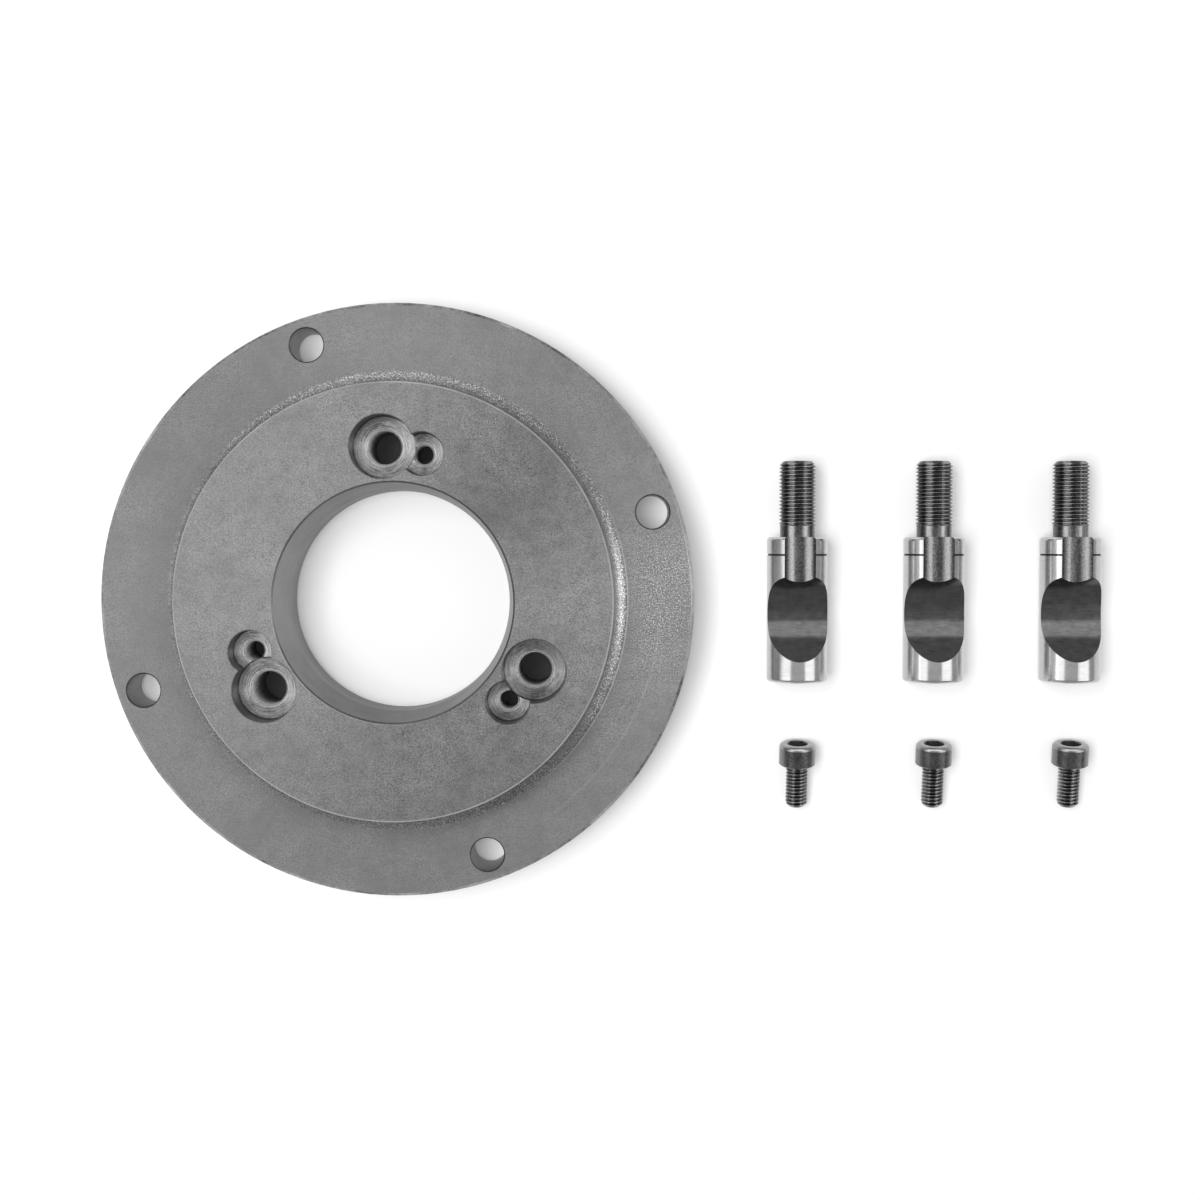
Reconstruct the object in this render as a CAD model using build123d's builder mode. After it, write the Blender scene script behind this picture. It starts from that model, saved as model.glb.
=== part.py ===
from build123d import *
from math import atan, cos, isclose, radians, sin, tan
import os

# A backplate for a 160 mm chuck on a size 4 cam lock spindle nose, with its cam studs and lock screws.
# Millimetres. It lies on its chuck side with the spindle side up: +Z leaves the spindle face.
# The origin is on the plate's axis, in the plane that everything lies on.

# Plate
flange_width = 21.8
flange_thickness = 15.0
boss_diameter = 116.4
boss_height = 10.0
boss_fillet = 3.6
facing_step = 0.2
facing_land = 0.6
register_height = 3.0
register_wall = 3.25
rim_chamfer = 0.8
boss_chamfer = 0.4
taper_mouth_diameter = 63.513
taper_mouth_chamfer = 0.4
taper_half_angle = 7.125
taper_depth = 14.05
bore_back_chamfer = 2.0

# Chuck bolt holes
bolt_edge_distance = 7.25
bolt_count = 4
bolt_hole_diameter = 9.0
bolt_start_angle = 19.3
bolt_hole_chamfer = 0.3

# Cam stud
stud_count = 3
stud_diameter = 16.6
stud_body_length = 39.7
stud_thread_diameter = 10.0
stud_thread_pitch = 1.0
stud_thread_length = 17.7
stud_neck_diameter = 9.5
stud_neck_length = 3.0
stud_tip_chamfer = 1.1
stud_end_fillet = 1.0
depth_ring_distance = 4.6
depth_ring_width = 0.5
depth_ring_depth = 0.3
cam_notch_radius = 11.5
cam_notch_axis_height = 12.55
cam_notch_distance = 18.6
cam_ramp_angle = 40.0

# Lock screw
screw_thread_diameter = 6.0
screw_thread_pitch = 1.0
screw_length = 12.0
screw_tip_chamfer = 0.9
screw_head_diameter = 10.0
screw_head_height = 6.0
screw_head_fillet = 1.1
screw_head_underside_chamfer = 0.3
hex_across_flats = 5.0
hex_depth = 3.0
hex_mouth_chamfer = 0.3

# Stud sites in the spindle face
stud_circle = 82.55
stud_start_angle = 94.1
stud_socket_clearance = 0.2
stud_socket_depth = 7.5
stud_hole_spare_depth = 0.8
lock_screw_offset = 10.8
lock_screw_turn = 14.5
lock_channel_clearance = 0.6
lock_pocket_clearance = 0.8
lock_pocket_depth = 6.5
lock_hole_spare_depth = 2.0
tapped_mouth_chamfer = 0.5

# Where the loose pieces lie, in two rows to the right of the plate
stud_row_x = 108.7
stud_row_y = 7.8
stud_row_spacing = 37.5
screw_row_x = 109.3
screw_row_y = -48.8
screw_row_spacing = 37.9

# Heights on the plate
flange_bottom = register_height
flange_top = flange_bottom + flange_thickness
face_height = flange_top + boss_height

# Widths on the plate: flange 160 mm, bolt holes on a 145.5 mm circle, register 130 mm and bore 60 mm
flange_diameter = boss_diameter + 2 * flange_width
bolt_circle = flange_diameter - 2 * bolt_edge_distance
register_diameter = bolt_circle - bolt_hole_diameter - 2 * register_wall
facing_radius = boss_diameter / 2 + boss_fillet + facing_land
bore_diameter = taper_mouth_diameter - 2 * taper_depth * tan(radians(taper_half_angle))

# Sizes that follow from the stud and the screw
stud_tap_diameter = stud_thread_diameter - stud_thread_pitch
screw_tap_diameter = screw_thread_diameter - screw_thread_pitch
stud_socket_diameter = stud_diameter + 2 * stud_socket_clearance
lock_pocket_diameter = screw_head_diameter + 2 * lock_pocket_clearance
lock_channel_radius = screw_head_diameter / 2 + lock_channel_clearance
stud_length = stud_body_length + stud_neck_length + stud_thread_length
stud_hole_depth = depth_ring_distance + stud_neck_length + stud_thread_length + stud_hole_spare_depth
lock_hole_depth = lock_pocket_depth + screw_length + lock_hole_spare_depth


def rims(part, radius, height):
    """The round edges of one radius whose centres lie at one height."""
    circles = part.edges().filter_by(GeomType.CIRCLE)
    return circles.filter_by(
        lambda edge: isclose(edge.radius, radius, abs_tol=0.01)
        and isclose(edge.arc_center.Z, height, abs_tol=0.01)
    )


def finish(part, name):
    """Names a finished piece and writes it."""
    part.label = name
    export_step(part, f"parts/{name}.step")


def make_backplate():
    """The turned plate: flange, boss with the spindle taper, register, and its drilled holes."""
    with BuildPart() as backplate:
        with BuildSketch(Plane.XZ):
            with BuildLine():
                Polyline(
                    (bore_diameter / 2, 0),
                    (register_diameter / 2, 0),
                    (register_diameter / 2, flange_bottom),
                    (flange_diameter / 2, flange_bottom),
                    (flange_diameter / 2, flange_top),
                    (facing_radius, flange_top),
                    (facing_radius, flange_top + facing_step),
                    (boss_diameter / 2, flange_top + facing_step),
                    (boss_diameter / 2, face_height),
                    (taper_mouth_diameter / 2, face_height),
                    (bore_diameter / 2, face_height - taper_depth),
                    close=True,
                )
            make_face()
        revolve(axis=Axis.Z)

        fillet(rims(backplate, boss_diameter / 2, flange_top + facing_step), boss_fillet)
        chamfer(rims(backplate, boss_diameter / 2, face_height), boss_chamfer)
        chamfer(rims(backplate, taper_mouth_diameter / 2, face_height), taper_mouth_chamfer)
        chamfer(rims(backplate, bore_diameter / 2, 0), bore_back_chamfer)
        chamfer(rims(backplate, register_diameter / 2, 0), rim_chamfer)
        for height in (flange_bottom, flange_top):
            chamfer(rims(backplate, flange_diameter / 2, height), rim_chamfer)

        with Locations((0, 0, flange_top)):
            with PolarLocations(bolt_circle / 2, bolt_count, start_angle=bolt_start_angle):
                Hole(bolt_hole_diameter / 2, depth=flange_thickness)
        for height in (flange_bottom, flange_top):
            chamfer(rims(backplate, bolt_hole_diameter / 2, height), bolt_hole_chamfer)

        inward = -lock_screw_offset * sin(radians(lock_screw_turn))
        clockwise = -lock_screw_offset * cos(radians(lock_screw_turn))
        with Locations((0, 0, face_height)):
            with PolarLocations(stud_circle / 2, stud_count, start_angle=stud_start_angle):
                CounterBoreHole(
                    radius=stud_tap_diameter / 2,
                    counter_bore_radius=stud_socket_diameter / 2,
                    counter_bore_depth=stud_socket_depth,
                    depth=stud_hole_depth,
                )
                with Locations((inward, clockwise)):
                    CounterBoreHole(
                        radius=screw_tap_diameter / 2,
                        counter_bore_radius=lock_pocket_diameter / 2,
                        counter_bore_depth=lock_pocket_depth,
                        depth=lock_hole_depth,
                    )
        chamfer(rims(backplate, stud_tap_diameter / 2, face_height - stud_socket_depth), tapped_mouth_chamfer)
        with Locations((0, 0, face_height - lock_pocket_depth)):
            with PolarLocations(stud_circle / 2, stud_count, start_angle=stud_start_angle):
                with Locations((inward, clockwise)):
                    CounterSinkHole(
                        radius=screw_tap_diameter / 2,
                        counter_sink_radius=screw_tap_diameter / 2 + tapped_mouth_chamfer,
                        depth=lock_hole_depth - lock_pocket_depth,
                        counter_sink_angle=90,
                    )
    finish(backplate.part, "backplate")


def make_stud(number):
    """A cam stud lying along Y, thread end away, with its cam notch up."""
    middle_x = stud_row_x + (number - 1) * stud_row_spacing
    lower_end = (middle_x, stud_row_y - stud_length / 2, stud_diameter / 2)
    side = Plane(origin=lower_end, x_dir=(0, 1, 0), z_dir=(1, 0, 0))
    ring_end = stud_body_length - depth_ring_distance
    ring_start = ring_end - depth_ring_width
    neck_end = stud_body_length + stud_neck_length
    with BuildPart() as stud:
        with BuildSketch(side) as profile:
            with BuildLine():
                Polyline(
                    (0, 0),
                    (0, stud_diameter / 2),
                    (ring_start, stud_diameter / 2),
                    (ring_start, stud_diameter / 2 - depth_ring_depth),
                    (ring_end, stud_diameter / 2 - depth_ring_depth),
                    (ring_end, stud_diameter / 2),
                    (stud_body_length, stud_diameter / 2),
                    (stud_body_length, stud_neck_diameter / 2),
                    (neck_end, stud_neck_diameter / 2),
                    (neck_end, stud_thread_diameter / 2),
                    (stud_length, stud_thread_diameter / 2),
                    (stud_length, 0),
                    close=True,
                )
            make_face()
            body_corners = profile.vertices().group_by(Axis.Y)[-1].sort_by(Axis.X)
            fillet([body_corners[0], body_corners[-1]], stud_end_fillet)
        revolve(axis=Axis(lower_end, (0, 1, 0)))
        chamfer(stud.edges().filter_by(GeomType.CIRCLE).sort_by(Axis.Y)[-1], stud_tip_chamfer)

        ramp = radians(cam_ramp_angle)
        ramp_start = (
            cam_notch_distance - cam_notch_radius * sin(ramp),
            cam_notch_axis_height - cam_notch_radius * cos(ramp),
        )
        ramp_end = (ramp_start[0] - stud_diameter * cos(ramp), ramp_start[1] + stud_diameter * sin(ramp))
        with BuildSketch(side):
            with Locations((cam_notch_distance, cam_notch_axis_height)):
                Circle(cam_notch_radius)
            with BuildLine():
                Polyline(
                    ramp_start,
                    ramp_end,
                    (cam_notch_distance, ramp_end[1]),
                    (cam_notch_distance, cam_notch_axis_height),
                    close=True,
                )
            make_face()
        extrude(amount=stud_diameter / 2, both=True, mode=Mode.SUBTRACT)

        notch_origin = side.from_local_coords((cam_notch_distance, 0, 0))
        notch_middle = Plane(origin=notch_origin, x_dir=(-1, 0, 0), z_dir=(0, 1, 0))
        with BuildSketch(notch_middle):
            with Locations((0, lock_screw_offset)):
                Circle(lock_channel_radius)
        extrude(amount=stud_body_length - cam_notch_distance, mode=Mode.SUBTRACT)
    finish(stud.part, f"camlock_stud_{number}")


def make_lock_screw(number):
    """A socket head screw lying on its head rim and on its thread tip, head away."""
    rim_reach = screw_length + screw_head_underside_chamfer - screw_tip_chamfer
    rim_drop = (screw_head_diameter - screw_thread_diameter) / 2
    tilt = atan(rim_drop / rim_reach)
    tip_height = screw_thread_diameter / 2 * cos(tilt) - screw_tip_chamfer * sin(tilt)
    whole_length = screw_length + screw_head_height
    middle_x = screw_row_x + (number - 1) * screw_row_spacing
    tip = (middle_x, screw_row_y - whole_length / 2 * cos(tilt), tip_height)
    along = (0, cos(tilt), sin(tilt))
    half_section = Plane(origin=tip, x_dir=(1, 0, 0), z_dir=(0, -sin(tilt), cos(tilt)))
    head_origin = half_section.from_local_coords((0, whole_length, 0))
    head_top = Plane(origin=head_origin, x_dir=(1, 0, 0), z_dir=along)
    thread_radius = screw_thread_diameter / 2
    head_radius = screw_head_diameter / 2
    with BuildPart() as screw:
        with BuildSketch(half_section):
            with BuildLine():
                Polyline(
                    (0, 0),
                    (thread_radius - screw_tip_chamfer, 0),
                    (thread_radius, screw_tip_chamfer),
                    (thread_radius, screw_length),
                    (head_radius - screw_head_underside_chamfer, screw_length),
                    (head_radius, screw_length + screw_head_underside_chamfer),
                    (head_radius, whole_length),
                    (0, whole_length),
                    close=True,
                )
            make_face()
        revolve(axis=Axis(tip, along))
        fillet(screw.faces().sort_by(Axis(tip, along))[-1].edges(), screw_head_fillet)

        hex_corner_radius = hex_across_flats / 2 / cos(radians(30))
        with BuildSketch(head_top):
            RegularPolygon(hex_corner_radius, 6)
        extrude(amount=-hex_depth, mode=Mode.SUBTRACT)
        with BuildSketch(head_top):
            Circle(hex_corner_radius)
        extrude(amount=-hex_mouth_chamfer, taper=45, mode=Mode.SUBTRACT)
    finish(screw.part, f"lock_screw_{number}")


os.makedirs("parts", exist_ok=True)
make_backplate()
for number in range(1, stud_count + 1):
    make_stud(number)
    make_lock_screw(number)
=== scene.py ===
import math

import bmesh
import bpy
import numpy as np
from mathutils import Matrix, Vector


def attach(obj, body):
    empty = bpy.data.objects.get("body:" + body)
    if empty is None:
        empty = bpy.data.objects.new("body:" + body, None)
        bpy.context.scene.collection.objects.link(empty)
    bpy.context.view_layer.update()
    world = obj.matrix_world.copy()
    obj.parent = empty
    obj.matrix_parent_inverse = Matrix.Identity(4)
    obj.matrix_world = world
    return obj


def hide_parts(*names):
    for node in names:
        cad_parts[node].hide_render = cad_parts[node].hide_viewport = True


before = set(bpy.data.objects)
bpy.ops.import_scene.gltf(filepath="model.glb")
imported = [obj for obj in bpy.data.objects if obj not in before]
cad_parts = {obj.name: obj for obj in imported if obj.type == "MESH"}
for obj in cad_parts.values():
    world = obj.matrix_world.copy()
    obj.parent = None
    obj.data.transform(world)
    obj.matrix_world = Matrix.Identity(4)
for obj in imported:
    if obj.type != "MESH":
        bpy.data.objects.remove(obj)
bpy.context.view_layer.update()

# A backplate with its cam studs and lock screws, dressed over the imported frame.
# The scene is in metres. The sizes below are in millimetres, as the source gives them.
MM = 0.001

# Plate
FACE_HEIGHT = 28.0
FLANGE_RADIUS = 80.0
MOUTH_RADIUS = 32.0
BOLT_HOLE_REACH = (67.0, 78.0)
STUD_COUNT = 3
STUD_CIRCLE_RADIUS = 41.275
STUD_START_ANGLE = 94.1
SOCKET_RADIUS = 8.5
SOCKET_DEPTH = 7.5
STUD_HOLE_DEPTH = 26.1
LOCK_OFFSET = 10.8
LOCK_TURN = math.radians(14.5)
LOCK_SHIFT = (LOCK_OFFSET * math.sin(LOCK_TURN), LOCK_OFFSET * math.cos(LOCK_TURN))
LOCK_POCKET_RADIUS = 5.8
LOCK_POCKET_DEPTH = 6.5
LOCK_HOLE_DEPTH = 20.5
TAP_DEPTH = 0.5
MOUTH_CHAMFER = 0.5

# Cam studs
STUD_RADIUS = 8.3
STUD_LENGTH = 60.4
STUD_BODY_LENGTH = 39.7
STUD_NECK_END = 42.7
STUD_NECK_RADIUS = 4.75
STUD_THREAD_RADIUS = 5.0
STUD_TIP_CHAMFER = 1.1
CHANNEL_RADIUS = 5.6
NOTCH_RADIUS = 11.5
NOTCH_AXIS_HEIGHT = 12.55
NOTCH_DISTANCE = 18.6
NOTCH_RAMP = math.radians(40)
RING_SPAN = (34.55, 35.15)

# Lock screws
SCREW_THREAD_RADIUS = 3.0
SCREW_LENGTH = 12.0
SCREW_WHOLE_LENGTH = 18.0
SCREW_TIP_CHAMFER = 0.9
SCREW_HEAD_RADIUS = 5.0
SCREW_HEAD_ROUNDING = 1.1
SCREW_HEAD_UNDERSIDE = 12.3
SCREW_NECK = 0.9
SCREW_NECK_RADIUS = 2.7
SCREW_NECK_STEP = 0.25
HEX_REACH = 2.95
# Beyond this reach from the axis the head's end gets a painted highlight
RING_HIGHLIGHT_REACH = 2.0
SCREW_TILT = math.atan(
    (SCREW_HEAD_RADIUS - SCREW_THREAD_RADIUS) / (SCREW_HEAD_UNDERSIDE - SCREW_TIP_CHAMFER)
)

# The middle of each row's first piece, and how far apart its pieces are
STUD_X, STUD_Y, STUD_SPACING = 108.7, 7.8, 37.5
SCREW_X, SCREW_Y, SCREW_SPACING = 109.3, -48.8, 37.9

# How near a face has to be to a place to count as there, or how far inside an edge
EXACT = 0.01
NEARLY_EXACT = 0.02
CLOSE = 0.05
ON_SURFACE = 0.06
NEAR = 0.1
BESIDE_WALL = 0.3
INSIDE_EDGE = 0.5
EDGE_BAND = 1.0

# The upright share of a normal: flat faces have more than the first, walls less than the second
FLAT = 0.9
WALL = 0.3

# One pitch of a 60 degree thread: place along the pitch, and depth as a share of the whole depth
THREAD_PROFILE = [
    (-0.12, 0.09),
    (-0.05, 0.01),
    (0.0, 0.0),
    (0.05, 0.01),
    (0.12, 0.09),
    (0.25, 0.42),
    (0.36, 0.82),
    (0.44, 0.97),
    (0.5, 1.0),
    (0.56, 0.97),
    (0.64, 0.82),
    (0.75, 0.42),
]
PLACES = np.array([p for p, _ in THREAD_PROFILE])
DEPTHS = np.array([d for _, d in THREAD_PROFILE])
PITCH = 1.0
MALE_DEPTH = 0.6134
FEMALE_DEPTH = 0.5413
STUD_FADE = 0.8
SCREW_FADE = 0.4
HOLE_FADE = 1.0
STUD_SEGMENTS = 72
SCREW_SEGMENTS = 60
STUD_HOLE_SEGMENTS = 60
LOCK_HOLE_SEGMENTS = 48
SHARP_ANGLE = math.radians(50)
NO_HEIGHT = 1e-9
WELD_DISTANCE = 1e-4
SLIVER = 1e-5
DEPTH_ATTRIBUTE = "thread_depth"

# Parts of the plate with a tone of their own, several of them painted light or shade. Each range is
# from, to and the softness of its ends.
# Reaches from the axis and heights are in millimetres, bearings in radians from the right.
FLANGE_HEIGHTS = (17.0, 22.5, 0.3)
FACE_REACH = (20.0, 58.0, 0.5)
FILLET_REACH = (59.0, 61.6, 0.3)
# Painted highlight and painted shade: a light line and a dark line at the fillet's foot, on the
# right side only
FOOT_HIGHLIGHT_REACH = (61.95, 62.15, 0.15)
FOOT_SHADE_REACH = (61.5, 61.65, 0.12)
FOOT_BEARINGS = (-0.7, 0.35, 0.25)
# Painted shade: the flange darker on its upper left
UPPER_LEFT_SHADE_BEARINGS = (1.95, 2.75, 0.3)
# Painted highlight: sparkle on the fillet's right and top
GLINT_RIGHT_BEARINGS = (-0.4, 0.3, 0.25)
GLINT_TOP_BEARINGS = (0.75, 2.1, 0.35)
# Painted shade: the face and the flange darker at two ranges of bearings
LOWER_SHADE_BEARINGS = (-1.9, -0.5, 0.35)
UPPER_SHADE_BEARINGS = (0.45, 1.15, 0.3)
# Painted highlight: the grain values between which sparkle appears
GLINT_GRAIN = (0.05, 0.16)

# Parts of rings on the plate, most of them painted light or shade: first their bearings, then their
# reaches
# Painted sparkle: livelier grain beside the fillet's foot, on the lit right side
FOOT_SPARKLE = ((-0.75, 0.4, 0.25), (63.0, 70.0, 2.5))
# Painted highlight: a zone of sparkle on the right of the flange, a little darker between the
# glints
GLINT_ZONE = ((-0.2, 0.24, 0.14), (67.0, 81.0, 4.5))
# Painted highlight: a bright line along the rim on the right
RIM_HIGHLIGHT = ((-0.1, 0.3, 0.12), (79.1, 79.35, 0.12))
# Painted shade: darker at the boss's root on its lower side
ROOT_SHADE = ((-2.6, -0.4, 0.4), (58.5, 64.0, 2.5))
# A darker patch on the fillet at the lower right
DARK_PATCH = ((-1.35, -0.8, 0.3), (59.0, 62.5, 1.8))
# Painted highlight: a light line just outside the bore's mouth on the lower left
MOUTH_HIGHLIGHT = ((-3.05, -1.35, 0.3), (MOUTH_RADIUS + 0.1, MOUTH_RADIUS + 0.35, 0.12))
# A turning mark, drawn lighter only on the right as a painted highlight
LIT_TURNING_MARK = ((-0.95, 0.1, 0.25), (70.6, 71.1, 0.25))

# A pocket's dark outline of painted shade, inside and outside its edge, and the rings at its
# corner, of painted shade, and at its hole, of painted highlight
OUTLINE_INSIDE = 0.1
OUTLINE_OUTSIDE = 0.14
CORNER_SHADE_RING = (-0.3, 0.3, 0.12)
LIP_HIGHLIGHT_RING = (-0.3, 0.25, 0.1)

# Heights between which tapped holes darken as painted shade, and the height between pocket floors
# and hole floors
HOLE_SHADE_HEIGHTS = (9.0, 20.0)
FLOORS_APART = 15.0

# The left side of a stud, which gets a band of painted highlight, and its round part short of both
# ends
STUD_LEFT_HIGHLIGHT = (-6.9, -4.8, 0.25)
STUD_END_MARGINS = (0.9, 0.5)
STUD_END_SOFTNESS = 0.3

# How far a noise goes to each side of 0, how blue the greys are, and a quarter of a whole turn
NOISE_SPREAD = 0.5
BLUE_TINT = 1.012
QUARTER_TURN = 0.25

# Floor, room, lamps and camera, in metres and radians
FLOOR_HALF_WIDTH = 3.0
FLOOR_GREY = 0.8
FLOOR_GLOW = 0.15
ROOM_STRENGTH = 0.45
CENTRE = Vector((0.055, 0.0, 0.01))
CAMERA_PLACE = (0.0549758, 0.0185323, 0.4662765)
CAMERA_PITCH = 0.0405
CAMERA_ROLL = -0.0010


def profile_depth(phase):
    """How deep the thread is at a phase of its pitch, from 0 at the crest to 1 at the root."""
    wrapped = np.mod(phase - PLACES[0], 1.0) + PLACES[0]
    return np.interp(wrapped, np.append(PLACES, PLACES[0] + 1.0), np.append(DEPTHS, DEPTHS[0]))


def helix_grid(start, end, radius_at, segments, limit=None):
    """Points and faces of a thread's surface round Z, with its rows along the helix."""
    turns_low = int(math.floor(start / PITCH)) - 2
    turns_high = int(math.ceil(end / PITCH)) + 1
    rows = len(PLACES)
    count = (turns_high - turns_low + 1) * rows
    angles = np.linspace(0, 2 * np.pi, segments + 1)
    along = np.empty((count, segments + 1))
    for row in range(count):
        turn, step = divmod(row, rows)
        along[row] = (turns_low + turn + PLACES[step]) * PITCH + angles / (2 * np.pi) * PITCH
    clipped = np.clip(along, start, end)
    turned = np.broadcast_to(angles, clipped.shape)
    if limit is not None:
        clipped = limit(clipped, turned)
    radius = radius_at(clipped, profile_depth(clipped / PITCH - turned / (2 * np.pi)))
    points = np.stack([radius * np.cos(turned), radius * np.sin(turned), clipped], axis=-1)
    faces = []
    width = segments + 1
    for row in range(count - 1):
        for step in range(segments):
            a = row * width + step
            quad = (a, a + 1, a + 1 + width, a + width)
            heights = [clipped.flat[i] for i in quad]
            if max(heights) - min(heights) > NO_HEIGHT:
                faces.append(quad)
    return points.reshape(-1, 3), faces


def mesh_arrays(mesh):
    """The points and the corner normals of a mesh."""
    points = np.array([v.co for v in mesh.vertices])
    return points, np.array([n.vector for n in mesh.corner_normals])


def surface(points, faces, flip=False):
    """A welded surface as points, faces and corner normals."""
    mesh = bpy.data.meshes.new("scratch")
    turned_faces = [face[::-1] if flip else face for face in faces]
    mesh.from_pydata([tuple(p) for p in points], [], turned_faces)
    work = bmesh.new()
    work.from_mesh(mesh)
    bmesh.ops.remove_doubles(work, verts=work.verts, dist=WELD_DISTANCE)
    bmesh.ops.dissolve_degenerate(work, dist=SLIVER, edges=work.edges)
    work.to_mesh(mesh)
    work.free()
    mesh.polygons.foreach_set("use_smooth", [True] * len(mesh.polygons))
    mesh.set_sharp_from_angle(angle=SHARP_ANGLE)
    mesh.update()
    welded, normals = mesh_arrays(mesh)
    loops = [tuple(poly.vertices) for poly in mesh.polygons]
    bpy.data.meshes.remove(mesh)
    return welded, loops, normals


def thread_depths(data, crest, depth):
    """How deep each point of a thread round Z is, from 0 at the crest to 1 at the root."""
    return np.clip((crest - np.hypot(data[0][:, 0], data[0][:, 1])) / depth, 0, 1)


def sorted_faces(mesh, material_of):
    """A mesh's faces in groups, one for each material. Faces without a material are left out."""
    points, normals = mesh_arrays(mesh)
    groups = {}
    for poly in mesh.polygons:
        loop = tuple(poly.vertices)
        material = material_of(points[list(loop)], poly.normal)
        if material is not None:
            faces, corners = groups.setdefault(material, ([], []))
            faces.append(loop)
            corners.extend(normals[poly.loop_start:poly.loop_start + poly.loop_total])
    return [
        ((points, faces, np.array(corners)), material)
        for material, (faces, corners) in groups.items()
    ]


def moved(data, matrix):
    """Surface data carried through a matrix with no scaling in it other than an even one."""
    points, faces, corners = data
    turn = np.array(matrix.to_3x3().normalized())
    full = np.array(matrix)
    return points @ full[:3, :3].T + full[:3, 3], faces, corners @ turn.T


def assembled(name, parts):
    """One mesh object from several surfaces, each with its material and a thread's depths."""
    points, faces, corners, marks, depths = [], [], [], [], []
    offset = 0
    materials = []
    for data, material, *depth in parts:
        if material not in materials:
            materials.append(material)
        mark = materials.index(material)
        points.append(data[0])
        faces.extend([tuple(i + offset for i in face) for face in data[1]])
        corners.append(data[2])
        marks.extend([mark] * len(data[1]))
        depths.append(depth[0] if depth else np.zeros(len(data[0])))
        offset += len(data[0])
    mesh = bpy.data.meshes.new(name)
    mesh.from_pydata(np.concatenate(points).tolist(), [], faces)
    mesh.polygons.foreach_set("use_smooth", [True] * len(faces))
    mesh.polygons.foreach_set("material_index", marks)
    mesh.normals_split_custom_set(np.concatenate(corners).tolist())
    attribute = mesh.attributes.new(DEPTH_ATTRIBUTE, "FLOAT", "POINT")
    attribute.data.foreach_set("value", np.concatenate(depths))
    for material in materials:
        mesh.materials.append(material)
    mesh.update()
    piece = bpy.data.objects.new(name, mesh)
    bpy.context.scene.collection.objects.link(piece)
    return piece


def cap(radius, height, segments):
    """A flat round end with its normals up."""
    angles = np.linspace(0, 2 * np.pi, segments, endpoint=False)
    heights = np.full(segments, height)
    points = np.stack([radius * np.cos(angles), radius * np.sin(angles), heights], axis=-1)
    corners = np.tile([0.0, 0.0, 1.0], (segments, 1))
    return points, [tuple(range(segments))], corners


# Materials


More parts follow.
